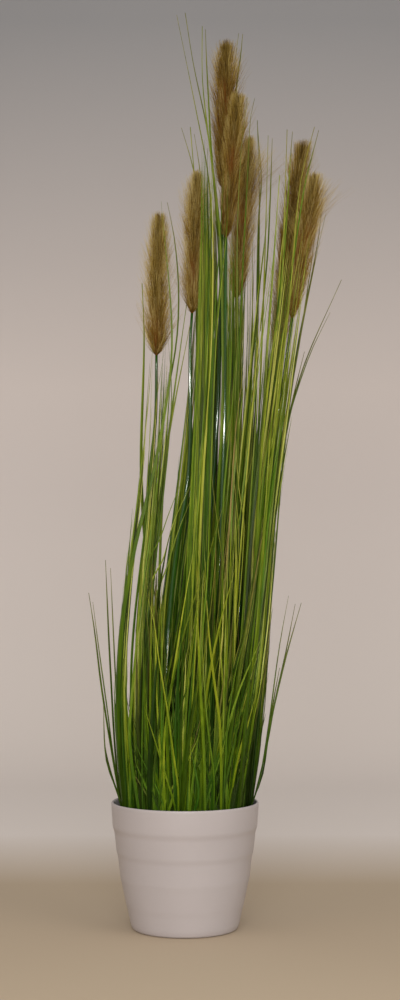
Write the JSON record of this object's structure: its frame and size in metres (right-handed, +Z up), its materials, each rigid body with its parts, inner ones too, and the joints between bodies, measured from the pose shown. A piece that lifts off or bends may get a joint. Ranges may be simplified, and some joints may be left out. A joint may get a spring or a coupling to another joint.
{
  "type": "potted ornamental grass",
  "caption": "Artificial ornamental grass with bristly foxtail plumes on tall stems, standing in a round white tapered plastic pot.",
  "frame": {"origin": "centre of the pot's flat base", "axes": "+Z up along the pot's axis, -Y toward the viewer of the picture, +X to the viewer's right, the side that the tall grass leans to"},
  "size_m": [0.247, 0.1755, 0.906],
  "materials": {
    "pot": "white, satin, slightly warm",
    "filler": "near black, matte",
    "stem": "dark green, glossy",
    "leaf": "mixed yellow green to dark green, satin",
    "plume": "tan to olive brown fine bristles, matte"
  },
  "bodies": {
    "root": {"filler": "filler", "leaf_01": "leaf", "leaf_02": "leaf", "leaf_03": "leaf", "leaf_04": "leaf", "leaf_05": "leaf", "leaf_06": "leaf", "leaf_07": "leaf", "leaf_08": "leaf", "leaf_09": "leaf", "leaf_10": "leaf", "leaf_11": "leaf", "leaf_12": "leaf", "leaf_13": "leaf", "leaf_14": "leaf", "leaf_15": "leaf", "leaf_16": "leaf", "leaf_17": "leaf", "leaf_18": "leaf", "leaf_19": "leaf", "leaf_20": "leaf", "leaf_21": "leaf", "leaf_22": "leaf", "leaf_23": "leaf", "leaf_24": "leaf", "leaf_25": "leaf", "leaf_26": "leaf", "leaf_27": "leaf", "leaf_28": "leaf", "leaf_bunch_01": "leaf", "leaf_bunch_02": "leaf", "leaf_bunch_03": "leaf", "leaf_bunch_04": "leaf", "leaf_bunch_05": "leaf", "leaf_bunch_06": "leaf", "leaf_bunch_07": "leaf", "leaf_bunch_08": "leaf", "leaf_bunch_09": "leaf", "leaf_bunch_10": "leaf", "leaf_bunch_11": "leaf", "leaf_bunch_12": "leaf", "leaf_bunch_13": "leaf", "leaf_bunch_14": "leaf", "plume_1": "plume", "plume_2": "plume", "plume_3": "plume", "plume_4": "plume", "plume_5": "plume", "plume_6": "plume", "plume_7": "plume", "plume_8": "plume", "pot": "pot", "stem_1": "stem", "stem_2": "stem", "stem_3": "stem", "stem_4": "stem", "stem_5": "stem", "stem_6": "stem", "stem_7": "stem", "stem_8": "stem"}
  },
  "joints": []
}
